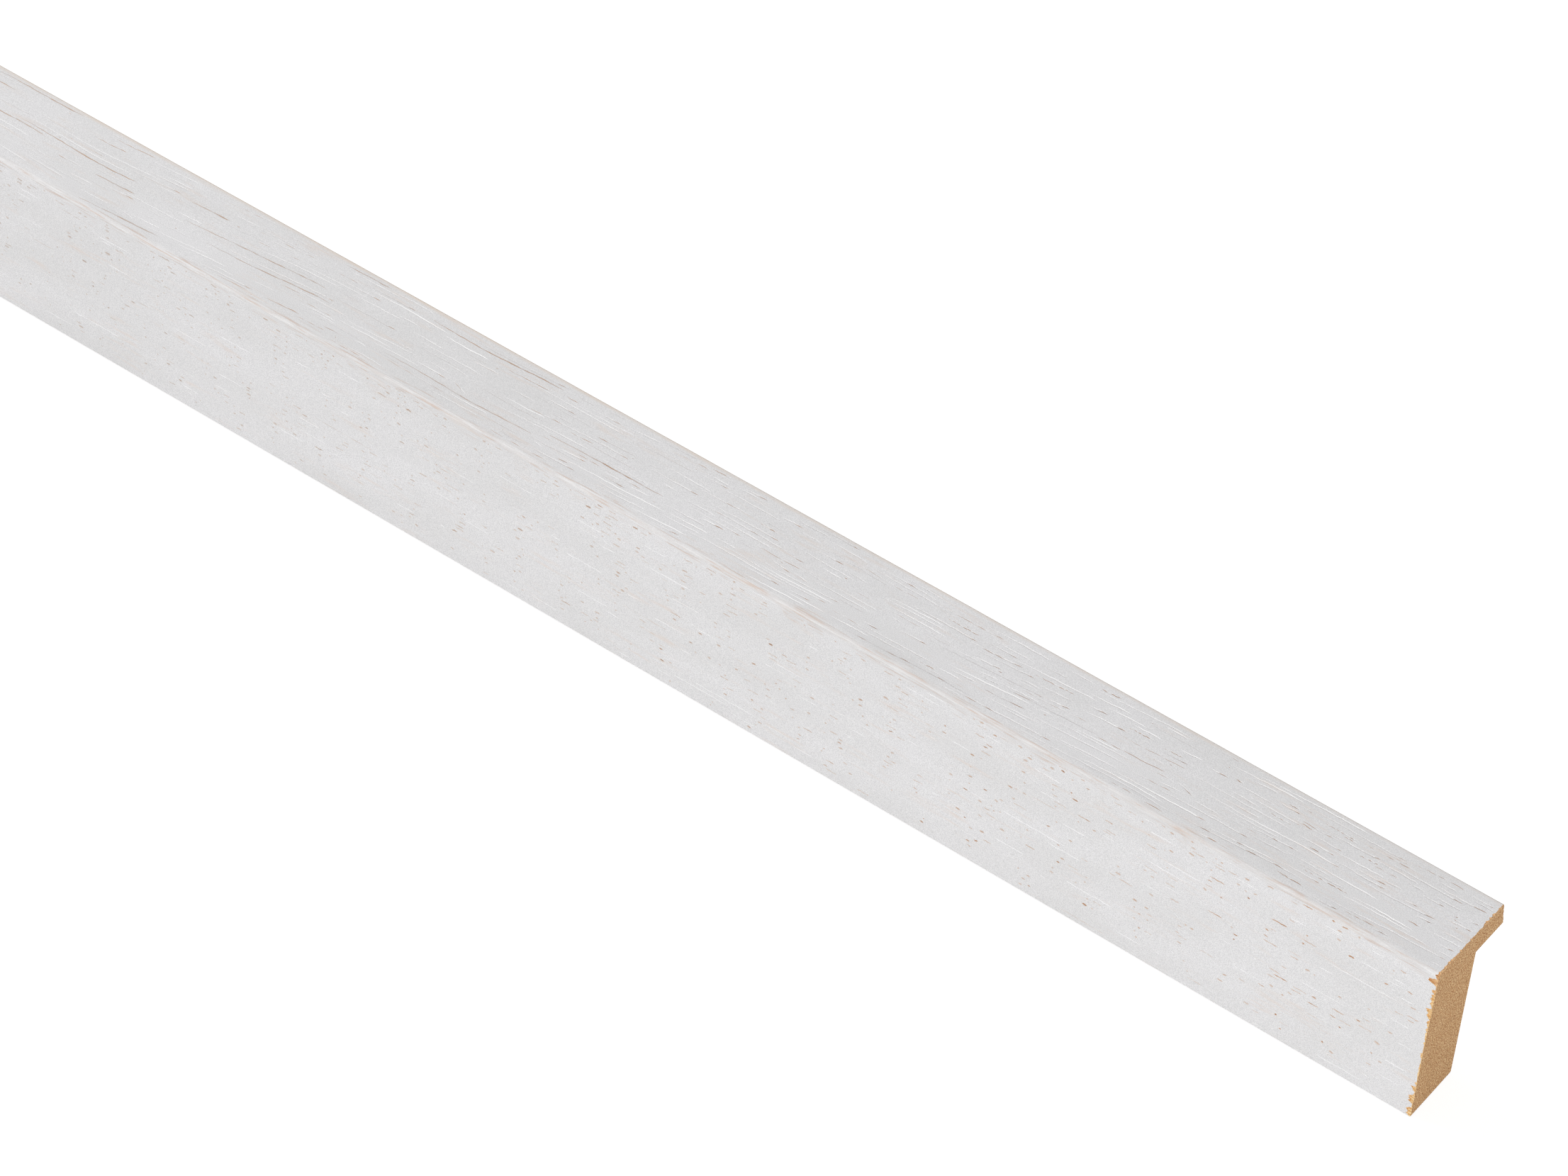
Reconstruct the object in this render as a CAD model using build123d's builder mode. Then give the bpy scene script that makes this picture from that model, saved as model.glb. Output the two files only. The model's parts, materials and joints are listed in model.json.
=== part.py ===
from build123d import *
import os

os.makedirs("parts", exist_ok=True)

# One length of picture frame moulding: a machined stick of fibreboard,
# painted on the face, the outer side and the sight edge, standing on its back.
# X runs along the stick, the outer side looks to -Y, the lip points to +Y, and +Z is up,
# out of the frame's face. The origin is at the middle of the base.

# Stock length: such moulding is sold over the counter in sticks of one metre.
stock_length = 1000

# Overall section, measured square to the length.
overall_width = 20
overall_height = 33

# Rebate for the glass, picture and backing board, open to the back and to the lip side.
rebate_width = 8
rebate_depth = 28

# The sight edge leans back, so it is narrower at the face than at the rebate.
sight_edge_setback = 1

# Easing of the long edges.
outer_edge_radius = 0.8
sight_edge_radius = 0.5
back_edge_radius = 0.3

# Places worked out from the dimensions above.
outer_y = -overall_width / 2
sight_y = overall_width / 2
rebate_wall_y = sight_y - rebate_width
face_sight_y = sight_y - sight_edge_setback

with BuildPart() as moulding:
    # Section seen along the stick: local x is Y, local y is Z.
    with BuildSketch(Plane.YZ.offset(-stock_length / 2)) as section:
        with BuildLine():
            Polyline(
                (outer_y, 0),
                (outer_y, overall_height),
                (face_sight_y, overall_height),
                (sight_y, rebate_depth),
                (rebate_wall_y, rebate_depth),
                (rebate_wall_y, 0),
                close=True,
            )
        make_face()
    extrude(amount=stock_length)

    # Long edges, named by where they run in the section.
    long_edges = moulding.edges().filter_by(Axis.X)
    face_edges = long_edges.group_by(Axis.Z)[-1].sort_by(Axis.Y)
    back_edges = long_edges.group_by(Axis.Z)[0]
    fillet(face_edges.first, radius=outer_edge_radius)
    fillet(face_edges.last, radius=sight_edge_radius)
    fillet(back_edges, radius=back_edge_radius)

moulding.part.label = "moulding"
export_step(moulding.part, "parts/moulding.step")
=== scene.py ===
import bisect
import json
import math
import random
from collections import namedtuple

import bpy
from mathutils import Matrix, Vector, noise
from mathutils.geometry import delaunay_2d_cdt


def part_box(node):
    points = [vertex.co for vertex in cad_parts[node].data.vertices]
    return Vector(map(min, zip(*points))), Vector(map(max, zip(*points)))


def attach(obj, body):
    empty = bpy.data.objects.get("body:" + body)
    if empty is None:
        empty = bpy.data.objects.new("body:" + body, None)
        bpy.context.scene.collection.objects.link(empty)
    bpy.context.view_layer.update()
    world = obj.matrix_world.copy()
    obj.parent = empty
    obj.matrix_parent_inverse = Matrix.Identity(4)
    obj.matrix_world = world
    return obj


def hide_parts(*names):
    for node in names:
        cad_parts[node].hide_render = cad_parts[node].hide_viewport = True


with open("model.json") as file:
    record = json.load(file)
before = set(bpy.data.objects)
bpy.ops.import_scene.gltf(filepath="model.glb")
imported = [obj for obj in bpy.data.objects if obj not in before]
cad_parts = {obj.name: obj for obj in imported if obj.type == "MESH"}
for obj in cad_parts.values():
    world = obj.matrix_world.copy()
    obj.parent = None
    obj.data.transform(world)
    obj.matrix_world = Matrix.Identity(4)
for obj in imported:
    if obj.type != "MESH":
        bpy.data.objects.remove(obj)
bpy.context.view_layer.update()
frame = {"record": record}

# The stick: one length of medium density fibreboard, run through moulding cutters to a flat face, a
# tall outer side and a rebate behind a lip, and sawn off square. Its outline is walked once round in
# millimetres from the middle of the back, so that its surface can be drawn flat and then folded.
mm = 0.001
low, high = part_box("moulding")
mount = {m["name"]: m["pos_m"] for m in frame["record"]["mounts"]}
near_x, far_x = high.x / mm, low.x / mm
outer_y, sight_y, face_z = low.y / mm, high.y / mm, high.z / mm
ledge_z = mount["rebate_seat"][2] / mm
wall_y = mount["rebate_wall"][1] / mm
back_y = mount["back"][1] / mm
sight_edge_setback = 1.0
back_edge_radius, back_edge_facets = 0.3, 3
outer_edge_radius, outer_edge_facets = 0.8, 8
sight_edge_radius, sight_edge_facets = 0.5, 6

# Each corner: its place, the radius of its easing, the facets round it, and the stretch after it.
corners = [
    ((outer_y, 0.0), back_edge_radius, back_edge_facets, "side"),
    ((outer_y, face_z), outer_edge_radius, outer_edge_facets, "face"),
    ((sight_y - sight_edge_setback, face_z), sight_edge_radius, sight_edge_facets, "bevel"),
    ((sight_y, ledge_z), 0.0, 0, "ledge"),
    ((wall_y, ledge_z), 0.0, 0, "wall"),
    ((wall_y, 0.0), back_edge_radius, back_edge_facets, "back_rest"),
    ((back_y, 0.0), 0.0, 0, "end"),
]
Span = namedtuple("Span", "low high start end start_normal end_normal")
spans = []
stretch = {}


def outward(direction):
    return Vector((-direction.y, direction.x))


def add_span(start, end, start_normal, end_normal):
    at = spans[-1].high if spans else 0.0
    spans.append(Span(at, at + (end - start).length, start, end, start_normal, end_normal))


here, name = Vector((back_y, 0.0)), "back_first"
for i, (place, radius, facets, next_name) in enumerate(corners):
    corner = Vector(place)
    along = (corner - here).normalized()
    last = i == len(corners) - 1
    onward = along if last else (Vector(corners[i + 1][0]) - corner).normalized()
    turn = along.angle(onward)
    cut = radius * math.tan(turn / 2)
    began = spans[-1].high if spans else 0.0
    add_span(here, corner - along * cut, outward(along), outward(along))
    stretch[name] = (began, spans[-1].high)
    if radius:
        centre = corner - along * cut - outward(along) * radius
        angles = [turn * k / facets for k in range(facets + 1)]
        spokes = [outward(along) * math.cos(a) + along * math.sin(a) for a in angles]
        for spoke, next_spoke in zip(spokes, spokes[1:]):
            add_span(centre + spoke * radius, centre + next_spoke * radius, spoke, next_spoke)
        stretch[name + "_arc"] = (stretch[name][1], spans[-1].high)
    here, name = corner + onward * cut, next_name
outline_length = spans[-1].high
span_starts = [span.low for span in spans]
rows = sorted({round(v, 6) for span in spans for v in (span.low, span.high)})


def span_at(s):
    return spans[max(0, min(bisect.bisect_right(span_starts, s) - 1, len(spans) - 1))]


def normal_on(span, s):
    share = (s - span.low) / (span.high - span.low)
    return (span.start_normal * (1 - share) + span.end_normal * share).normalized()


def fold(x, s, depth):
    """The place in the frame, in mm, of a point of the flat sheet, sunk by depth."""
    span = span_at(s)
    share = (s - span.low) / (span.high - span.low)
    p = span.start * (1 - share) + span.end * share - normal_on(span, s) * depth
    return Vector((x, p.x, p.y))


def linear(code):
    """An sRGB hex colour as the linear numbers that a shader takes."""
    parts = [int(code[i:i + 2], 16) / 255 for i in (0, 2, 4)]
    return tuple(v / 12.92 if v <= 0.04045 else ((v + 0.055) / 1.055) ** 2.4 for v in parts) + (1.0,)


def clear_tree(owner):
    """Turns on the nodes of a material or world, and gives back its tree, emptied."""
    owner.use_nodes = True
    owner.node_tree.nodes.clear()
    return owner.node_tree


def add(tree, kind, inputs, output=0, **settings):
    """Adds one node with its settings and its inputs, by name or in order, each a number or a link,
    and gives back one of its outputs."""
    node = tree.nodes.new("ShaderNode" + kind)
    for key, value in settings.items():
        setattr(node, key, value)
    for key, value in inputs.items() if isinstance(inputs, dict) else enumerate(inputs):
        if isinstance(value, bpy.types.NodeSocket):
            tree.links.new(value, node.inputs[key])
        else:
            node.inputs[key].default_value = value
    return node.outputs[output] if len(node.outputs) else None


def per_mm(*sizes):
    """Sizes in mm, along the stick, across it and up, as a pattern's repeats per metre."""
    return [1 / (size * mm) for size in sizes]


# Medium density fibreboard as the cutters left it, in the rebate and on the back. The eye sees a tan,
# smooth and matt felt of fibres half a millimetre long, with faint marks where each knife passed.
board_ior = 1.5
knife_mark = 1.4
wave_period = 2 * math.pi / 20
planed_bump = 0.03
planed = bpy.data.materials.new("planed_fibreboard")
tree = clear_tree(planed)
where = add(tree, "TexCoord", {}, "Object")
spread = add(tree, "Mapping", {"Vector": where, "Scale": per_mm(0.5, 0.25, 0.25)})
felt = add(tree, "TexNoise", {"Vector": spread, "Scale": 1.0, "Detail": 3.0, "Roughness": 0.7})
spread = add(tree, "Mapping", {"Vector": where, "Scale": per_mm(6, 3, 3)})
cloud = add(tree, "TexNoise", {"Vector": spread, "Scale": 1.0, "Detail": 2.0})
spread = add(tree, "Mapping", {"Vector": where, "Scale": per_mm(knife_mark / wave_period, 1e6, 1e6)})
marks = add(tree, "TexWave", {"Vector": spread, "Scale": 1.0, "Distortion": 0.4}, "Fac")
colour = linear("A88256")
for value, start, end, least, most, over in (
    (felt, 0.3, 0.7, 0.0, 1.0, "C9A478"),
    (cloud, 0.3, 0.7, 0.0, 0.5, "B38B60"),
):
    cover = add(tree, "MapRange", (value, start, end, least, most))
    colour = add(tree, "Mix", {"Factor": cover, "A": colour, "B": linear(over)}, "Result", data_type="RGBA")
marks = add(tree, "Math", (marks, 0.35), operation="MULTIPLY")
relief = add(tree, "Math", (felt, marks), operation="ADD")
bump = add(tree, "Bump", {"Height": relief, "Strength": 1.0, "Distance": planed_bump * mm})
rough = add(tree, "MapRange", (felt, 0.3, 0.7, 0.75, 0.9))
surface = add(tree, "BsdfPrincipled", {
    "Base Color": colour, "Roughness": rough, "IOR": board_ior, "Normal": bump})
add(tree, "OutputMaterial", {"Surface": surface})

# The painted skin: white emulsion, sprayed on the outer side, the face and the sight edge over wood with
# open grain, and sanded back by hand. So it is gently uneven, wavers along the eased outer edge and is
# hollow just behind it. Each layer of noise has a strength, a size along, a size across and a seed.
painted_low, painted_high = stretch["back_first_arc"][0], stretch["bevel"][1]
outer_arc, sight_arc = stretch["side_arc"], stretch["face_arc"]
edge_roll, edge_roll_reach = 0.13, 1.05
edge_waver = ((1.0, 14.0, 3.0, 3.1), (0.5, 4.5, 2.0, 8.7), (0.35, 2.2, 1.2, 6.6))
hollow_depth, hollow_start, hollow_rise, hollow_reach = 0.15, 0.5, 2.0, 6.0
hollow_drift = (0.9, 24.0, 1.0, 5.2)
uneven, uneven_drift = 0.02, (1.0, 9.0, 3.5, 1.9)
low_fade, high_fade = 1.5, 3.0
slope_step = 0.05


def soft_noise(x, s, seed):
    return noise.noise(Vector((x, seed, s)))


def mottle(base, x, s, *layers):
    """A base value with layers of soft noise on it."""
    for strength, size_along, size_across, seed in layers:
        base += strength * soft_noise(x / size_along, s / size_across, seed)
    return base


def skin_depth(x, s):
    """How far the sanded paint lies below the full section, in mm."""
    if not painted_low < s < painted_high:
        return 0.0
    fade = min(1.0, (s - painted_low) / low_fade, (painted_high - s) / high_fade)
    off_edge = s - (outer_arc[0] + outer_arc[1]) / 2
    waver = max(0.0, mottle(0.6, x, s, *edge_waver))
    rolled = math.exp(-(off_edge / edge_roll_reach) ** 2) * edge_roll * waver
    hollow = 0.0
    if off_edge > hollow_start:
        off = off_edge - hollow_start
        hollow = (1 - math.exp(-(off / hollow_rise) ** 2)) * math.exp(-(off / hollow_reach) ** 2)
    hollow *= hollow_depth * max(0.0, mottle(0.7, x, 0.0, hollow_drift))
    return rolled + hollow + uneven * fade * mottle(1.0, x, s, uneven_drift)


def skin_normal(x, s, span):
    n = normal_on(span, s)
    rise_s = (skin_depth(x, s + slope_step) - skin_depth(x, s - slope_step)) / (2 * slope_step)
    rise_x = (skin_depth(x + slope_step, s) - skin_depth(x - slope_step, s)) / (2 * slope_step)
    return Vector((rise_x, n.x + n.y * rise_s, n.y - n.x * rise_s)).normalized()


# Away from the near end, the pores grow longer, shallower and greyer, over the length that shows.
change_length = 300.0


def farness(x):
    return min(1.0, (near_x - x) / change_length)


# Matt white emulsion paint, sprayed over open-grained wood and rubbed back. The eye sees a chalky white
# with a sandy tooth, faint streaks where it is thin, and brown wood in the pores that it missed. Its colour
# also holds painted shade and painted highlight, on the grains of the tooth, in the pores and on the fold.
paint_ior = 1.5
paint_bump = 0.04
paint = bpy.data.materials.new("matt_white_paint_on_open_grain")
tree = clear_tree(paint)
where = add(tree, "TexCoord", {}, "Object")
along, across, height = add(tree, "SeparateXYZ", (where,)).node.outputs
# Marks from the mesh: how bare the paint is, which also paints shade into the pore valleys; how rubbed it is,
# which also paints shade and highlight on the fold; and painted highlight on the lit pore walls.
bare_and_shade_at, rub_and_shade_to, fill_and_highlight = [add(tree, "Attribute", {}, "Fac", attribute_name=name)
                           for name in ("bare_and_shade", "rub_and_shade", "fill_and_highlight")]

# Its patterns, by size in mm, detail and roughness: a broad drift of tone, thin streaks and the patches
# that they show in, upright rays, the threads of the rubbed fold, which are brown wear and painted highlight,
# and the grit of the tooth, whose grey is painted shade on its grains. Real grit is under 0.1 mm, too
# fine to show, so it is drawn a little coarser.
pattern = []
for sizes, detail, rough in (
    ((30, 9, 9), 3.0, 0.5),
    ((9, 0.8, 0.8), 4.0, 0.6),
    ((12, 5, 5), 2.0, 0.5),
    ((0.6, 7, 7), 2.0, 0.5),
    ((6, 0.3, 0.3), 2.0, 0.5),
    ((0.14, 0.14, 0.14), 1.0, 0.6),
):
    spread = add(tree, "Mapping", {"Vector": where, "Scale": per_mm(*sizes)})
    pattern.append(add(tree, "TexNoise", {
        "Vector": spread, "Scale": 1.0, "Detail": detail, "Roughness": rough}))
drift, streaks, patches, rays, threads, grit = pattern

# How far each coat of colour covers. A range has a value, its start and end, and what they become.
on_face = add(tree, "MapRange", (height, (face_z - 0.9) * mm, (face_z - 0.5) * mm))
# The grey of the tooth is painted shade on its grains, stronger on the outer side than on the face.
side_tooth_shade = add(tree, "MapRange", (grit, 0.35, 0.75, 0.0, 0.76))
face_tooth_shade = add(tree, "MapRange", (grit, 0.3, 0.7, 0.0, 0.57))
thin_streaks = add(tree, "MapRange", (streaks, 0.52, 0.70))
thin_patches = add(tree, "MapRange", (patches, 0.48, 0.62, 0.0, 0.6))
on_fold = add(tree, "MapRange", (rub_and_shade_to, 0.02, 0.12))
# Along the fold, brown threads are wear and white threads are painted highlight.
brown_threads = add(tree, "MapRange", (threads, 0.55, 0.66, 0.0, 0.6))
painted_highlight_threads = add(tree, "MapRange", (threads, 0.46, 0.36, 0.0, 0.25))
rub_break = add(tree, "MapRange", (streaks, 0.35, 0.65, -0.6, 0.25))
rub_broken = add(tree, "Math", (rub_and_shade_to, rub_break), operation="ADD")

# Along the sight edge the paint is rubbed thin in a strip, wider toward the far end.
strip_from = add(tree, "MapRange", (
    along, near_x * mm, far_x * mm, (sight_y - 1.9) * mm, (sight_y - 2.6) * mm))
strip = add(tree, "MapRange", (across, strip_from, (sight_y - 1.3) * mm))
for part in (
    (along, (near_x - 180) * mm, near_x * mm, 1.0, 0.35),
    (height, (face_z - 2.5) * mm, (face_z - 0.6) * mm),
    (streaks, 0.35, 0.6, 0.55, 1.0),
):
    strip = add(tree, "Math", (strip, add(tree, "MapRange", part)), operation="MULTIPLY")

# Low marks of bare wood tint a pore: on the face a grey-brown painted shade down its valley, on the outer
# side a tan halo round its fleck.
valley_shade_and_halo = add(tree, "Mix", {
    "Factor": on_face, "A": linear("CFB8A4"), "B": linear("A09085")}, "Result", data_type="RGBA")
tone = linear("E4E3E3")
for cover, colour in (
    (add(tree, "MapRange", (drift, 0.35, 0.65)), linear("EBEAEB")),
    (add(tree, "MapRange", (rays, 0.3, 0.7, 0.0, 0.10)), linear("EBEBEB")),
    # painted shade on the grains of the tooth
    (add(tree, "MapRange", (on_face, 0.0, 1.0, side_tooth_shade, face_tooth_shade)), linear("BFBEBF")),
    # painted highlight on the lit walls of the pores, partly paint lying thick there
    (fill_and_highlight, linear("FAFAFA")),
    # painted shade down the pore valleys of the face, a tan halo on the outer side
    (add(tree, "MapRange", (bare_and_shade_at, 0.05, 0.3, 0.0, 0.4)), valley_shade_and_halo),
    (add(tree, "Math", (thin_streaks, thin_patches), operation="MULTIPLY"), linear("DDD1C9")),
    # painted shade: grey over the eased fold, toning down its highlight
    (add(tree, "MapRange", (rub_and_shade_to, 0.0, 0.4, 0.0, 0.55)), linear("CAC6C4")),
    (add(tree, "Math", (on_fold, brown_threads), operation="MULTIPLY"), linear("C9B2A2")),
    # painted highlight: white threads along the fold
    (add(tree, "Math", (on_fold, painted_highlight_threads), operation="MULTIPLY"), linear("F8F8F8")),
    (add(tree, "MapRange", (rub_broken, 0.45, 0.95, 0.0, 0.26)), linear("D3C1B4")),
    (strip, linear("DDD1C6")),
):
    tone = add(tree, "Mix", {"Factor": cover, "A": tone, "B": colour}, "Result", data_type="RGBA")

# The wood in the pores: darker on the face, as painted shade of its deeper pits, and in the deepest
# flecks, and veiled with paint far off.
fibre = add(tree, "MapRange", (grit, 0.35, 0.65))
wood, dark_wood_and_shade, veiled = [
    add(tree, "Mix", {"Factor": by, "A": linear(a), "B": linear(b)}, "Result", data_type="RGBA")
    for by, a, b in (
        (fibre, "A8744A", "D0A074"),
        (fibre, "7E5330", "B4845A"),
        (on_face, "A69A92", "C8AA92"),
    )]
deepest = add(tree, "MapRange", (bare_and_shade_at, 0.8, 1.5))
veil_most = add(tree, "MapRange", (on_face, 0.0, 1.0, 0.95, 0.85))
for cover, colour in (
    # painted shade on the face, darker wood in the deepest flecks
    (add(tree, "Math", (on_face, deepest), operation="MAXIMUM"), dark_wood_and_shade),
    (add(tree, "MapRange", (along, near_x * mm, (near_x - change_length) * mm, 0.0, veil_most)), veiled),
):
    wood = add(tree, "Mix", {"Factor": cover, "A": wood, "B": colour}, "Result", data_type="RGBA")
ragged_rim = add(tree, "MapRange", (grit, 0.3, 0.7, -0.1, 0.1))
ragged_bare = add(tree, "Math", (bare_and_shade_at, ragged_rim), operation="ADD")
bare_from = add(tree, "MapRange", (on_face, 0.0, 1.0, 0.12, 0.25))
bare_to = add(tree, "MapRange", (on_face, 0.0, 1.0, 0.95, 0.7))
core = add(tree, "MapRange", (ragged_bare, bare_from, bare_to))
colour = add(tree, "Mix", {"Factor": core, "A": tone, "B": wood}, "Result", data_type="RGBA")
ray_relief = add(tree, "Math", (rays, 0.3), operation="MULTIPLY")
relief = add(tree, "Math", (grit, ray_relief), operation="ADD")
bump = add(tree, "Bump", {"Height": relief, "Strength": 1.0, "Distance": paint_bump * mm})
rough = add(tree, "MapRange", (grit, 0.3, 0.7, 0.78, 0.92))
surface = add(tree, "BsdfPrincipled", {
    "Base Color": colour, "Roughness": rough, "IOR": paint_ior, "Normal": bump})
add(tree, "OutputMaterial", {"Surface": surface})

# Sawn ends: the saw cut the painted stick off square. It tore the skin back from the edge in ragged
# notches, deepest down the outer side and least along the face, and left yellow wood fibre bare in them.
PAINT, PLANED, TORN, SAWN, SOFT_WALL, CRISP_WALL, WHITE_WALL = range(7)
sheet = {"at": [], "depth": [], "bare_and_shade": [], "rub_and_shade": [], "edges": [], "faces": [], "finish": []}


def point(x, s, sunk=0.0, bare_and_shade=0.0, rub_and_shade=0.0):
    """Marks a point on the flat sheet, with how bare and how rubbed the paint is there. Low bareness paints
    shade into a pore's valley and a notch's foot; rubbing paints shade and highlight on the fold.
    """
    sheet["at"].append(Vector((x, s)))
    sheet["depth"].append(skin_depth(x, s) + sunk)
    sheet["bare_and_shade"].append(bare_and_shade)
    sheet["rub_and_shade"].append(rub_and_shade)
    return len(sheet["at"]) - 1


def chain(indices):
    sheet["edges"] += list(zip(indices, indices[1:]))


def facet(indices, finish):
    """A face of the sheet, turned anticlockwise; one that has closed up to a line is left out."""
    indices = list(dict.fromkeys(indices))
    if len(indices) < 3:
        return
    sides = [sheet["at"][i] - sheet["at"][indices[0]] for i in indices[1:]]
    turn = sum(a.cross(b) for a, b in zip(sides, sides[1:]))
    sheet["faces"].append(indices if turn > 0 else indices[::-1])
    sheet["finish"].append(finish)


# A map of the sheet holds the room that is taken, so that no notch or pore meets another.
cell_x, cell_s = 0.25, 0.05
columns = int((near_x - far_x) / cell_x) + 2
taken = bytearray(columns * (int(outline_length / cell_s) + 2))


def cells(stations):
    for x, s_low, s_high in stations:
        column = int((x - far_x) / cell_x)
        for row in range(int(s_low / cell_s), int(s_high / cell_s) + 1):
            yield row * columns + column


# Each chip: how far down the outer side it lies as a share, how far back it runs and how tall it is.
chips = [
    (-0.012, 0.8, 0.7), (0.03, 1.9, 1.5), (0.095, 0.85, 1.0), (0.155, 0.68, 3.2), (0.235, 1.2, 1.5),
    (0.268, 0.75, 1.4), (0.32, 0.42, 1.8), (0.363, 0.55, 0.7), (0.41, 0.3, 2.2), (0.46, 0.45, 0.6),
    (0.547, 0.4, 1.4), (0.66, 0.2, 5.0), (0.75, 0.6, 0.6), (0.79, 0.9, 1.1), (0.865, 1.3, 2.2),
    (0.96, 1.2, 2.4),
]
skin = 0.3
least_sunk = 0.05
notch_wall = 0.1
station_least, station_most, station_gap = 0.10, 0.24, 0.05

# The fray between the chips is noise in layers: a strength, the waves in a millimetre and a seed.
fray_least, fray_most = 0.03, 0.14
fray_waves = ((0.6, 3.1, 0.4), (0.5, 7.0, 2.4))
face_tear, face_tear_reach = 0.42, 4.5
side_top = stretch["side"][1]
side_height = side_top - painted_low
rng = random.Random(41)
nicks = [(rng.uniform(side_top + 1, painted_high), rng.uniform(0.2, 0.45), rng.uniform(0.3, 0.7))
         for _ in range(16)]


def tear(s, end):
    """How far the paint is torn back at s, from the near end (1) or the far one (-1)."""
    ragged = 0.5
    for strength, waves_per_mm, seed in fray_waves:
        ragged += strength * soft_noise(s * waves_per_mm, end * 5.0, seed)
    ragged = max(0.0, ragged)
    reach = fray_least + fray_most * ragged * ragged
    if s > side_top:
        reach += face_tear * math.exp(-(s - side_top) / face_tear_reach) * (0.5 + 0.6 * ragged)
        for at, back, tall in nicks:
            reach = max(reach, back * (1 - abs(s - at) / tall))
    # A chip opens within a fifth of its height, runs back less toward its foot, and closes quickly.
    for share, back, tall in chips:
        top = side_top - share * side_height if end > 0 else painted_low + share * side_height
        down = (top + tall / 2 - s) / tall
        if 0 < down < 1:
            shape = min(1.0, down * 5, (1 - down) * 6) * (1 - 0.45 * down * down)
            reach = max(reach, back * shape * (0.65 + 0.5 * ragged) * rng.uniform(0.6, 1.1))
    return reach


lip_of_row = {}
for end, end_x in ((1, near_x), (-1, far_x)):
    s = painted_low
    stations = [v for v in rows if painted_low <= v <= painted_high]
    while s < painted_high:
        s += rng.uniform(station_least, station_most)
        if s < painted_high and all(abs(v - s) > station_gap for v in stations):
            stations.append(s)
    stations.sort()
    lips, feet, rims = [], [], []
    for s in stations:
        back = tear(s, end)
        sunk = min(skin, least_sunk + back * 0.5) * rng.uniform(0.8, 1.1)
        wall = min(notch_wall, back * 0.4)
        lips.append(point(end_x - end * back, s))
        # The foot of a notch is marked for painted shade.
        feet.append(point(end_x - end * (back - wall), s, sunk, min(0.6, back * 0.42)))
        rims.append(point(end_x, s, sunk * rng.uniform(0.9, 1.1)))
        lip_of_row[(end, round(s, 6))] = lips[-1]
        steps_back = int(back / cell_x * 2) + 2
        for c in cells([(end_x - end * j * cell_x * 0.5, s - 0.15, s + 0.15) for j in range(steps_back)]):
            taken[c] = 1
    for line in (lips, feet, rims):
        chain(line)
    for a, b in zip(range(len(stations) - 1), range(1, len(stations))):
        facet([lips[a], feet[a], feet[b], lips[b]], TORN)
        facet([feet[a], rims[a], rims[b], feet[b]], TORN)

# Torn wood fibre, left where the saw lifted the skin. The eye sees raw yellow wood in streaks a sixth
# of a millimetre wide along the stick, browner by the face, and darker at the foot of a deep notch,
# where the darkness is painted shade.
wood_ior = 1.5
torn_bump = 0.12
torn = bpy.data.materials.new("torn_wood_fibre")
tree = clear_tree(torn)
where = add(tree, "TexCoord", {}, "Object")
height = add(tree, "SeparateXYZ", (where,), "Z")
notch_foot_shade = add(tree, "Attribute", {}, "Fac", attribute_name="bare_and_shade")
spread = add(tree, "Mapping", {"Vector": where, "Scale": per_mm(1.2, 0.16, 0.16)})
fibres = add(tree, "TexNoise", {"Vector": spread, "Scale": 1.0, "Detail": 3.0})
fibre = add(tree, "MapRange", (fibres, 0.35, 0.65))
colour, browner = [
    add(tree, "Mix", {"Factor": fibre, "A": linear(a), "B": linear(b)}, "Result", data_type="RGBA")
    for a, b in (("D29C5C", "F3DBAB"), ("C69566", "EDC898"))]
for cover, over in (
    (add(tree, "MapRange", (height, (face_z - 6) * mm, (face_z - 2) * mm)), browner),
    # painted shade at the foot of a deep notch
    (add(tree, "MapRange", (notch_foot_shade, 0.2, 0.6, 0.0, 0.5)), linear("B9804E")),
):
    colour = add(tree, "Mix", {"Factor": cover, "A": colour, "B": over}, "Result", data_type="RGBA")
bump = add(tree, "Bump", {"Height": fibres, "Strength": 1.0, "Distance": torn_bump * mm})
rough = add(tree, "MapRange", (fibres, 0.3, 0.7, 0.75, 0.9))
surface = add(tree, "BsdfPrincipled", {
    "Base Color": colour, "Roughness": rough, "IOR": wood_ior, "Normal": bump})
add(tree, "OutputMaterial", {"Surface": surface})

# Medium density fibreboard across the saw cut. The eye sees a rough felt of fibre ends, speckled pale
# and dark at a quarter of a millimetre, with small pits, drawn only as dark spots of painted shade,
# and faint streaks across where the teeth ran.
sawn_bump = 0.08
sawn = bpy.data.materials.new("sawn_fibreboard")
tree = clear_tree(sawn)
where = add(tree, "TexCoord", {}, "Object")
spread = add(tree, "Mapping", {"Vector": where, "Scale": per_mm(0.26, 0.26, 0.26)})
speck = add(tree, "TexNoise", {"Vector": spread, "Scale": 1.0, "Detail": 2.0, "Roughness": 0.7})
spread = add(tree, "Mapping", {"Vector": where, "Scale": per_mm(4, 4, 2.5)})
cloud = add(tree, "TexNoise", {"Vector": spread, "Scale": 1.0, "Detail": 2.0})
spread = add(tree, "Mapping", {"Vector": where, "Scale": per_mm(1, 5, 0.6)})
kerf = add(tree, "TexNoise", {"Vector": spread, "Scale": 1.0, "Detail": 2.0})
spread = add(tree, "Mapping", {"Vector": where, "Scale": per_mm(1.1, 1.1, 1.1)})
pit_shade = add(tree, "TexVoronoi", {"Vector": spread, "Scale": 1.0}, "Distance")
colour = linear("9C5C2A")
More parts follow.
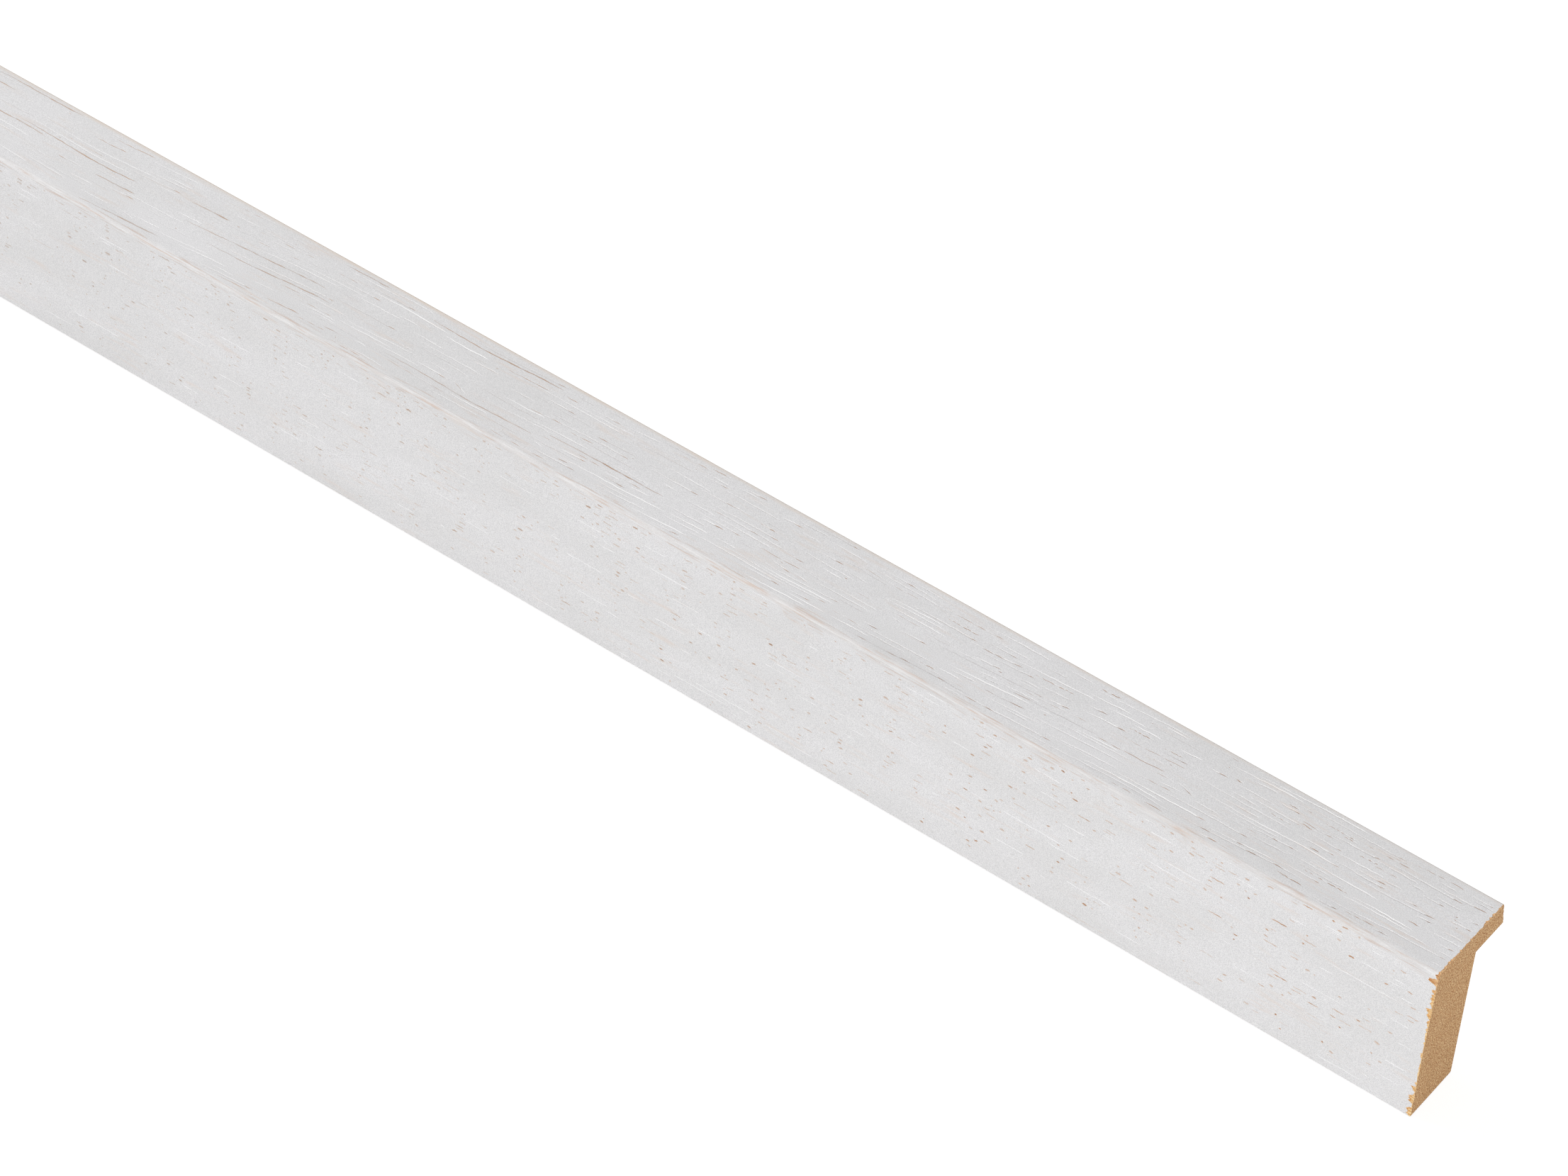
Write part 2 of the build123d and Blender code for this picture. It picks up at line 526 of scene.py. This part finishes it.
for value, start, end, least, most, over in (
    (speck, 0.38, 0.62, 0.0, 1.0, "F2D19D"),
    (cloud, 0.35, 0.65, 0.0, 0.22, "B27C48"),
    (kerf, 0.5, 0.68, 0.0, 0.22, "A06E3E"),
    # painted shade in small pits
    (pit_shade, 0.10, 0.2, 0.5, 0.0, "84582E"),
):
    cover = add(tree, "MapRange", (value, start, end, least, most))
    colour = add(tree, "Mix", {"Factor": cover, "A": colour, "B": linear(over)}, "Result", data_type="RGBA")
bump = add(tree, "Bump", {"Height": speck, "Strength": 1.0, "Distance": sawn_bump * mm})
rough = add(tree, "MapRange", (speck, 0.3, 0.7, 0.86, 0.94))
surface = add(tree, "BsdfPrincipled", {
    "Base Color": colour, "Roughness": rough, "IOR": board_ior, "Normal": bump})
add(tree, "OutputMaterial", {"Surface": surface})

# The long lines of the outline: the cutters' edges, eased by sanding. The eased outer edge is rubbed in
# patches and greyed all along as painted shade, so its rows are drawn in short steps, and the flat
# stretches in long ones.
outer_arc_step, sight_arc_step, flat_step = 1.6, 2.5, 20.0
arc_room = 0.3
end_clear = 2.4
by_sight_arc = 0.2
rub_patches = ((1.0, 11.0, 4.0, 6.1), (0.5, 3.0, 1.0, 4.4))
rub_break_up = (0.1, 2.5, 0.8, 7.7)
fold_shade_and_rub, less_fold_shade_and_rub_far, most_fold_shade_and_rub = 0.46, 0.18, 0.75


def in_arc(s, start, end):
    share = (s - start) / (end - start)
    return math.sin(math.pi * share) if 0 < share < 1 else 0.0


# How rubbed the eased outer edge is. A level all along the fold, less far off, greys it as painted shade;
# where it is rubbed most a pinkish wear shows, and the whole fold carries brown threads of wear and white
# threads of painted highlight.
def rub_and_shade_at(x, s):
    patch = max(0.0, mottle(-0.05, x, s, *rub_patches))
    base = mottle(fold_shade_and_rub - less_fold_shade_and_rub_far * farness(x), x, s, rub_break_up)
    return in_arc(s, outer_arc[0] - 0.2, outer_arc[1] + 0.2) * min(most_fold_shade_and_rub, base + 0.5 * patch)


for s in sorted(rows + [sight_arc[0] - by_sight_arc]):
    step = flat_step
    if outer_arc[0] - arc_room <= s <= outer_arc[1]:
        step = outer_arc_step
    elif sight_arc[0] - arc_room <= s <= sight_arc[1]:
        step = sight_arc_step
    count = round((near_x - far_x) / step)
    painted = painted_low <= s <= painted_high
    line = []
    for k in range(count + 1):
        x = far_x + (near_x - far_x) * k / count
        if not painted or far_x + end_clear < x < near_x - end_clear:
            line.append(point(x, s, 0.0, 0.0, rub_and_shade_at(x, s)))
    far_lip, near_lip = (lip_of_row.get((end, round(s, 6))) for end in (-1, 1))
    if far_lip is not None:
        line = [far_lip] + line + [near_lip]
    chain(line)

# Pores of the face: long open vessels of the wood, which the paint closed only in part. Each is a fine
# V-shaped furrow with a soft near slope and a steep far wall, bright from the lamps and from a painted
# highlight, partly paint lying thick there, and most have a thin painted shade down the valley. Some show
# brown wood. They follow the drift of the grain and lie in bands, as the growth rings leave them.
grain_rise = 0.03
grain_drift = ((2.4, 62.0, 16.0, 1.3), (0.45, 14.0, 4.0, 4.2))
bare_half = 0.11
pore_room = 0.06
end_room = 0.3
# A pore that the paint closed shows no wood, but its valley gets a thin painted shade.
valley_shade = 0.2
brown_from = 0.25
start_width, end_width, closing = 0.25, 0.15, 6.0


def grain(x, s):
    """How far the wood's grain has drifted across the sheet, shared by neighbouring pores."""
    return mottle(grain_rise * x, x, s, *grain_drift)


def cut_pore(x0, s0, length, near_half, far_half, depth, bare_and_shade, slope=0.0, follow=1.0, step=0.7,
             wander=0.075, near_wall=SOFT_WALL, far_wall=CRISP_WALL, widest=bare_half, opening=1.5):
    """Sinks one pore, and says if there was room for it. near_half and far_half are its half widths,
    and the function after depth gives, for each share along it, how much brown wood shows there, its
    low values painting a thin shade down the valley. opening is how fast it widens, follow its share of
    the grain's drift, and widest its half width where brown."""
    count = max(2, round(length / step))
    grain_here = grain(x0, s0)
    line = []
    for k in range(count + 1):
        share = k / count
        x = x0 + length * share
        s = s0 + follow * (grain(x, s0) - grain_here) + slope * length * share
        s += rng.uniform(-wander, wander)
        taper = min(1.0, start_width + opening * share, end_width + closing * (1 - share))
        taper *= rng.uniform(0.75, 1.0)
        line.append((x, s, near_half * taper, far_half * taper, depth * taper, share))
    path = []
    fine = max(1, int(length / count / cell_x) + 1)
    for a, b in zip(line, line[1:]):
        for j in range(fine + 1):
            x, s = (a[i] + (b[i] - a[i]) * j / fine for i in (0, 1))
            path.append((x, s - max(a[2], b[2]) - pore_room, s + max(a[3], b[3]) + pore_room))
    used = set(cells(path))
    past_end = line[-1][0] > near_x - end_room or line[0][0] < far_x + end_room
    if past_end or any(taken[c] for c in used):
        return False
    for c in used:
        taken[c] = 1
    previous = None
    for k, (x, s, near, far, sunk, share) in enumerate(line):
        if k in (0, count):
            station = (point(x, s),) * 3
        else:
            wood_here = bare_and_shade(share)
            if wood_here > brown_from:
                near, far = min(near, widest), min(far, widest)
            station = (point(x, s - near), point(x, s, sunk, wood_here), point(x, s + far))
        if previous:
            facet([previous[0], station[0], station[1], previous[1]], near_wall)
            facet([previous[1], station[1], station[2], previous[2]], far_wall)
        previous = station
    return True


# How much brown wood shows along a pore: the same all along, a dot at its end, dots here and there, an
# uneven run, or a run that swells about three times. Where no wood shows, the valley gets a thin painted
# shade.
def open_pore(amount):
    return lambda share: amount


def end_dot(amount, tail):
    return lambda share: amount if share > tail else valley_shade


def dotted(amount, beat):
    return lambda share: amount if rng.random() < beat else valley_shade


def uneven_run(amount):
    return lambda share: amount * rng.uniform(0.35, 1.0)


def brown_run(amount, phase):
    return lambda share: amount * (0.72 + 0.28 * math.sin(share * 21 + phase))


face_low, face_high = stretch["face"][0] + 0.15, stretch["face"][1] - 0.45
beaded_until = 0.55
bead_step, near_step, far_step = 0.42, 0.75, 1.2
rng = random.Random(7)


def fits_face(x0, s0, length, slope):
    line = [s0 + slope * length * t + grain(x0 + length * t, s0) - grain(x0, s0) for t in (0, 0.33, 0.66, 1)]
    return min(line) > face_low + 0.3 and max(line) < face_high - 0.1


def face_pore(x0, s0, length, slope=0.0):
    if not fits_face(x0, s0, length, slope):
        return False
    away = farness(x0)
    near_half = rng.uniform(0.14, 0.30)
    far_half = rng.uniform(0.10, 0.17)
    depth = rng.uniform(0.08, 0.17) * (1 - 0.45 * away)
    step = near_step if away < 0.15 else far_step
    kind = rng.random()
    brown_share = 0.09 * (1 - 0.6 * away)
    dotted_share = brown_share + 0.15 * (1 - 0.6 * away)
    if kind < brown_share:
        amount = rng.uniform(0.7, 1.05)
        bare_and_shade = dotted(amount, rng.uniform(0.4, 0.75))
        length *= rng.uniform(0.25 + 0.4 * away, 0.7)
        if away < beaded_until:
            step = bead_step
        else:
            bare_and_shade = brown_run(amount, rng.uniform(0, 6))
        return cut_pore(x0, s0, length, near_half * 0.6, far_half, depth * 0.6, bare_and_shade, slope,
                        step=step, widest=bare_half + 0.03)
    if kind < dotted_share:
        bare_and_shade = dotted(rng.uniform(0.5, 0.95), rng.uniform(0.2, 0.45))
        return cut_pore(x0, s0, length, 0.14, 0.08, 0.03, bare_and_shade, slope, step=step)
    bare_and_shade = open_pore(valley_shade - 0.1 * away)
    if rng.random() < 0.5 - 0.35 * away:
        bare_and_shade = end_dot(rng.uniform(0.6, 1.1), 1 - min(0.5, rng.uniform(0.6, 2.4) / length))
    elif rng.random() < 0.35 - 0.25 * away:
        bare_and_shade = dotted(rng.uniform(0.6, 1.1), 0.15)
    pick = rng.random()
    far_wall = WHITE_WALL if pick < 0.35 * (1 - away) else CRISP_WALL if pick < 1 - 0.5 * away else SOFT_WALL
    return cut_pore(x0, s0, length, near_half, far_half, depth, bare_and_shade, slope, step=step, wander=0.06,
                    far_wall=far_wall)


# The longest brown runs go down first, toward the far end.
long_runs, long_run_half, long_run_depth = 85, 0.2, 0.04
made = 0
for _ in range(long_runs * 5):
    x0 = rng.uniform(far_x + 1, near_x - 40)
    if rng.random() > 1.3 * farness(x0) - 0.4:
        continue
    length = rng.uniform(6, 20) + rng.uniform(0, 24) * farness(x0)
    s0 = rng.uniform(face_low, face_high)
    if made < long_runs and fits_face(x0, s0, length, 0.0):
        made += cut_pore(x0, s0, length, long_run_half, long_run_half, long_run_depth,
                         uneven_run(rng.uniform(0.7, 1.1)), step=1.1, wander=0.06,
                         far_wall=SOFT_WALL, widest=long_run_half)

# The furrows themselves, in bands and clumps, from 1.6 to 55 mm long.
face_pores = 1050
shortest, longest = 1.6, 55.0
tries = 0
while made < face_pores and tries < face_pores * 14:
    tries += 1
    x0 = rng.uniform(far_x + 0.5, near_x - 2)
    s0 = rng.uniform(face_low, face_high)
    band = soft_noise(x0 / 90, (s0 + grain(x0, s0)) / 1.9, 2.2)
    clump = soft_noise(x0 / 34, s0 / 9, 5.5)
    if rng.random() > 0.22 + 1.3 * max(0.0, band + 0.7 * clump):
        continue
    end_gap = 0.35 + 0.35 * math.exp(-(s0 - face_low) / face_tear_reach)
    length = min(longest, rng.lognormvariate(2.25 + 0.3 * farness(x0), 0.6), near_x - end_gap - x0)
    made += face_pore(x0, s0, max(shortest, length))

# Here and there the grain rises in an arch, and a sheaf of short pores runs steeply across.
sheaves = 34
for _ in range(sheaves):
    x_sheaf = rng.uniform(far_x + 2, near_x - 9)
    s_sheaf = face_low + 0.4 + rng.uniform(0.1, 1.0) * 8
    slope = rng.uniform(-0.32, -0.08)
    for k in range(rng.randint(6, 13)):
        x0 = x_sheaf + k * rng.uniform(0.5, 1.3)
        s0 = s_sheaf + (k % 4) * rng.uniform(0.35, 0.6)
        face_pore(x0, s0, rng.uniform(1.8, 5.5), slope)

# Small round pores stayed open, dark at the bottom.
face_dots = 200
for _ in range(face_dots):
    x0, s0 = rng.uniform(far_x + 1, near_x - 2), rng.uniform(face_low + 0.2, face_high - 0.2)
    length = rng.uniform(0.4, 0.9)
    cut_pore(x0, s0, length, bare_half, bare_half, 0.09, open_pore(rng.uniform(0.6, 1.1)), step=0.3)

# Pores of the outer side: here the wood is cut across its rays, so the pores are short flecks in loose
# upright columns, brown where the paint missed them, with straight white scratches of sanding between.
side_low, side_high = stretch["side"][0] + 0.4, stretch["side"][1] - 0.1
side_scratches = 420
scratched_length = 700
rng = random.Random(19)
for _ in range(side_scratches):
    length = min(9.0, rng.lognormvariate(1.2, 0.6))
    x0 = near_x - 0.4 - length - scratched_length * rng.random() ** 1.6
    s0 = rng.uniform(side_low, side_high)
    if s0 + grain(x0 + length, s0) * 0.2 - grain(x0, s0) * 0.2 > side_high:
        continue
    bold = rng.random() < 0.2
    half = rng.uniform(0.18, 0.22) if bold else rng.uniform(0.12, 0.18)
    near_wall = WHITE_WALL if bold or rng.random() < 0.4 else CRISP_WALL
    cut_pore(x0, s0, length * (1.5 if bold else 1.0), 0.6 * half, 0.4 * half, half * 0.5, open_pore(0.0),
             follow=0.2, step=0.9, wander=0.06, near_wall=near_wall, far_wall=WHITE_WALL, opening=6.0)


def side_fleck(x0, s0, length, strength):
    half = rng.uniform(0.11, 0.18) if length > 1.5 else rng.uniform(0.15, 0.31)
    if strength < 0.6:
        half *= 1.3
    if side_low + half + 0.2 < s0 < side_high - half - 0.1:
        bare_and_shade = open_pore(strength) if length < 1.5 else uneven_run(strength)
        cut_pore(x0, s0, length, half, half, half * 0.3, bare_and_shade, follow=0.3, step=0.38, wander=0.07,
                 far_wall=SOFT_WALL, widest=half, opening=4.0)


def fleck_strength(x):
    """How brown a fleck is: a few are dark, some plain and most faint, and fainter far off."""
    kind = rng.random() + 0.25 * farness(x)
    if kind < 0.14:
        return rng.uniform(1.2, 2.0)
    return rng.uniform(0.7, 1.1) if kind < 0.42 else rng.uniform(0.4, 0.75) * (1 - 0.15 * farness(x))


columns_along, columns_up = 180, 6
for i in range(columns_along * columns_up):
    place_along = i % columns_along + rng.uniform(-0.2, 1.2)
    place_up = i // columns_along + rng.random()
    x_column = far_x + 3 + place_along * (near_x - far_x - 6) / columns_along
    s_column = side_low + place_up * (side_high - side_low) / columns_up
    lean = rng.uniform(-0.9, 0.6)
    for k in range(rng.randint(1, 7)):
        length = rng.uniform(0.6, 1.5) if rng.random() < 0.65 else rng.uniform(1.5, 3.4)
        x0 = x_column + lean * k + rng.uniform(-0.9, 0.9)
        s0 = s_column + k * rng.uniform(0.7, 1.7)
        side_fleck(x0, s0, length * (1 - 0.4 * farness(x_column)), fleck_strength(x_column))

# Faint broken brown lines run along between them.
side_streaks = 130
for _ in range(side_streaks):
    length = rng.uniform(4.0, 15.0)
    x0 = rng.uniform(far_x + 0.5, near_x - 1 - length)
    s0 = rng.uniform(side_low, side_high - 0.5)
    cut_pore(x0, s0, length, 0.10, 0.10, 0.02, dotted(rng.uniform(0.4, 0.75), rng.uniform(0.25, 0.6)),
             follow=0.2, step=0.9, wander=0.05, far_wall=SOFT_WALL)

# A row of longer brown dashes lies just under the eased edge.
edge_dashes = 380
for _ in range(edge_dashes):
    under = abs(rng.gauss(0.0, 1.6)) + 0.25
    x0 = rng.uniform(far_x + 1, near_x - 5)
    side_fleck(x0, side_high - under, rng.uniform(0.6, 2.6), fleck_strength(x0) + 0.1)

# Where the eased edge was knocked hardest, an orange chip shows.
edge_chips = 30
for _ in range(edge_chips):
    x0, s0 = rng.uniform(far_x + 1, near_x - 6), side_high - rng.uniform(0.35, 0.8)
    length = rng.uniform(1.2, 4.0)
    cut_pore(x0, s0, length, 0.26, 0.22, 0.06, brown_run(rng.uniform(0.8, 1.1), rng.uniform(0, 6)),
             follow=0.1, step=0.45, wander=0.12, far_wall=SOFT_WALL, widest=0.26)

# The dressed stick: free points carry the unevenness of the skin between the pores. The flat sheet is
# cut into triangles round every line and pore on it, and folded round the section.
free_along, free_across = 4.0, 1.9
by_row = 0.12
touching = 1e-4
rng = random.Random(3)
for j in range(int((painted_high - painted_low) / free_across)):
    for k in range(int((near_x - far_x - 6) / free_along)):
        x = far_x + 3 + (k + rng.random()) * free_along
        s = painted_low + (j + rng.random()) * free_across
        clear_of_rows = min(abs(s - row) for row in rows) >= by_row
        if clear_of_rows and not any(taken[c] for c in cells([(x, s - 0.05, s + 0.05)])):
            point(x, s)

found, _, triangles, came_from, _, source = delaunay_2d_cdt(
    sheet["at"], sheet["edges"], sheet["faces"], 0, 1e-5, True)
depth_of, bare_and_shade_of, rub_and_shade_of = [
    [max(sheet[mark][j] for j in origin) if origin else 0.0 for origin in came_from]
    for mark in ("depth", "bare_and_shade", "rub_and_shade")]
places = [fold(p.x, p.y, depth) for p, depth in zip(found, depth_of)]
faces, finishes, normals = [], [], []


def add_face(tri, finish):
    faces.append(tuple(tri))
    finishes.append(finish)
    p, q, r = (places[i] for i in tri)
    return (q - p).cross(r - p).normalized()


for tri, origin in zip(triangles, source):
    a, b, c = (found[i] for i in tri)
    if (b - a).cross(c - a) < 0:
        tri = list(reversed(tri))
    s_mid = (a.y + b.y + c.y) / 3
    plain = PAINT if painted_low <= s_mid <= painted_high else PLANED
    finish = sheet["finish"][origin[0]] if origin else plain
    flat = add_face(tri, finish)
    span = span_at(s_mid)
    for i in tri:
        x, s = found[i].x, min(max(found[i].y, span.low), span.high)
        sunk = depth_of[i] - skin_depth(x, found[i].y) > 1e-4
        smooth = finish in (PAINT, PLANED) or (finish == SOFT_WALL and not sunk)
        normals.append(skin_normal(x, s, span) if smooth else flat)

# The seam along the back is closed: the sheet's last row becomes its first.
first_row = {round(p.x, 3): i for i, p in enumerate(found) if p.y < touching}
joined = {i: first_row[round(p.x, 3)] for i, p in enumerate(found) if p.y > outline_length - touching}

# The sawn faces close the two ends: each spans the outline, and its cut fibres stand as a fine nap,
# whose points keep clear of the outline and of the torn notches.
nap = 0.05
nap_spacing = 0.42
clear_of_base, clear_of_face, clear_of_side, clear_of_sight = 0.35, 0.6, 0.6, 1.6
clear_of_rebate, clear_of_corner = 0.25, 2.0
for end, end_x in ((1, near_x), (-1, far_x)):
    rim = sorted((p.y, i) for i, p in enumerate(found) if abs(p.x - end_x) < touching and i not in joined)
    ring = [i for _, i in reversed(rim)]
    flat_ring = [Vector((places[i].y, places[i].z)) for i in ring]
    edges = [(k, (k + 1) % len(ring)) for k in range(len(ring))]
    grid = []
    for j in range(1, int(face_z / nap_spacing)):
        for k in range(1, int((sight_y - outer_y) / nap_spacing)):
            y = outer_y + (k + rng.uniform(-0.3, 0.3)) * nap_spacing
            z = (j + rng.uniform(-0.3, 0.3)) * nap_spacing
            inside = (clear_of_base < z < face_z - clear_of_face
                      and outer_y + clear_of_side < y < sight_y - clear_of_sight)
            in_rebate = y > wall_y - clear_of_rebate and z < ledge_z + clear_of_rebate
            by_corner = y < outer_y + clear_of_corner and z > face_z - clear_of_corner
            if inside and not (in_rebate or by_corner):
                grid.append(Vector((y, z)))
    at, _, triangles, came_from, _, source = delaunay_2d_cdt(
        flat_ring + grid, edges, [list(range(len(ring)))], 0, 1e-6, True)
    index = {}
    for k, (p, origin) in enumerate(zip(at, came_from)):
        if origin and origin[0] < len(ring):
            index[k] = ring[origin[0]]
        else:
            index[k] = len(places)
            places.append(Vector((end_x - end * rng.uniform(0, nap), p.x, p.y)))
            bare_and_shade_of.append(0.0)
            rub_and_shade_of.append(0.0)
    for tri, inside in zip(triangles, source):
        if inside:
            a, b, c = (at[i] for i in tri)
            turn = (b - a).cross(c - a) * end
            normals += [add_face([index[i] for i in (tri if turn > 0 else reversed(tri))], SAWN)] * 3

used = sorted({joined.get(i, i) for tri in faces for i in tri})
renumber = {old: new for new, old in enumerate(used)}
mesh = bpy.data.meshes.new("moulding_stick")
mesh.from_pydata([places[i] * mm for i in used], [],
                 [tuple(renumber[joined.get(i, i)] for i in tri) for tri in faces])
mesh.attributes.new("bare_and_shade", "FLOAT", "POINT").data.foreach_set("value", [bare_and_shade_of[i] for i in used])
mesh.attributes.new("rub_and_shade", "FLOAT", "POINT").data.foreach_set("value", [rub_and_shade_of[i] for i in used])
# The lit walls of the pores carry a painted highlight, partly paint lying thick there.
fill_and_highlight_by = {CRISP_WALL: 0.2, WHITE_WALL: 0.6}
mesh.attributes.new("fill_and_highlight", "FLOAT", "FACE").data.foreach_set(
    "value", [fill_and_highlight_by.get(finish, 0.0) for finish in finishes])
mesh.polygons.foreach_set("use_smooth", [True] * len(mesh.polygons))
mesh.polygons.foreach_set("material_index", [PAINT if f >= SOFT_WALL else f for f in finishes])
mesh.normals_split_custom_set(normals)
for material in (paint, planed, torn, sawn):
    mesh.materials.append(material)
stick = bpy.data.objects.new("moulding_stick", mesh)
bpy.context.scene.collection.objects.link(stick)
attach(stick, "root")
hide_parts("moulding")

# The studio: a pale floor that goes to plain white for the camera and keeps a soft shadow, a wide soft
# light at the front, one above the far part, and an even white room.
floor_half = 20.0
floor_drop = 0.0002
floor_mesh = bpy.data.meshes.new("floor")
floor_mesh.from_pydata([(x * floor_half, y * floor_half, 0) for x, y in ((-1, -1), (1, -1), (1, 1), (-1, 1))],
                       [], [(0, 1, 2, 3)])
floor = bpy.data.objects.new("floor", floor_mesh)
floor.location.z = -floor_drop
bpy.context.scene.collection.objects.link(floor)
ground = bpy.data.materials.new("white_floor")
tree = clear_tree(ground)
to_camera = add(tree, "LightPath", {}, "Is Camera Ray")
plain_floor = add(tree, "BsdfDiffuse", {"Color": linear("DCDCDC")})
shadowed = add(tree, "BsdfDiffuse", {"Color": linear("A0A0A0")})
glow = add(tree, "Emission", {"Strength": 0.80})
seen_floor = add(tree, "AddShader", (shadowed, glow))
add(tree, "OutputMaterial", {"Surface": add(tree, "MixShader", (to_camera, plain_floor, seen_floor))})
floor_mesh.materials.append(ground)

room_level = 0.42
world = bpy.data.worlds.new("white_room")
bpy.context.scene.world = world
tree = clear_tree(world)
path = add(tree, "LightPath", {}).node.outputs
seen = add(tree, "Math", (path["Is Camera Ray"], path["Is Transmission Ray"]), operation="MAXIMUM")
strength = add(tree, "MapRange", (seen, 0.0, 1.0, room_level, 1.0))
white = add(tree, "Background", {"Color": linear("FFFFFF"), "Strength": strength})
add(tree, "OutputWorld", {"Surface": white})

# The lights stand in metres from the middle of the stick, and look at its nearer half.
lit = Vector((0.35, 0.0, 0.0))
for name, place, width, watts in (
    ("front_softbox", Vector((2.0, -2.2, 0.9)), 0.9, 48.0),
    ("far_top_softbox", Vector((-0.9, 0.0, 1.5)), 1.0, 19.2),
):
    lamp = bpy.data.lights.new(name, "AREA")
    lamp.shape = "SQUARE"
    lamp.size = width
    lamp.energy = watts
    light = bpy.data.objects.new(name, lamp)
    light.location = place
    light.rotation_euler = (lit - place).to_track_quat("-Z", "Y").to_euler()
    light.visible_camera = False
    bpy.context.scene.collection.objects.link(light)
bpy.context.scene.view_settings.view_transform = "Standard"

# The camera's place is measured from the near sawn end in millimetres, and its turn in degrees.
camera_from_end = Vector((220.4, -514.83, 632.24))
camera_turn = (45.6539, -2.9045, 37.1291)
camera_data = bpy.data.cameras.new("camera")
camera_data.lens = 123.0
camera_data.sensor_width = 36.0
camera = bpy.data.objects.new("camera", camera_data)
camera.location = (Vector((near_x, 0.0, 0.0)) + camera_from_end) * mm
camera.rotation_euler = [math.radians(a) for a in camera_turn]
bpy.context.scene.collection.objects.link(camera)
bpy.context.scene.camera = camera
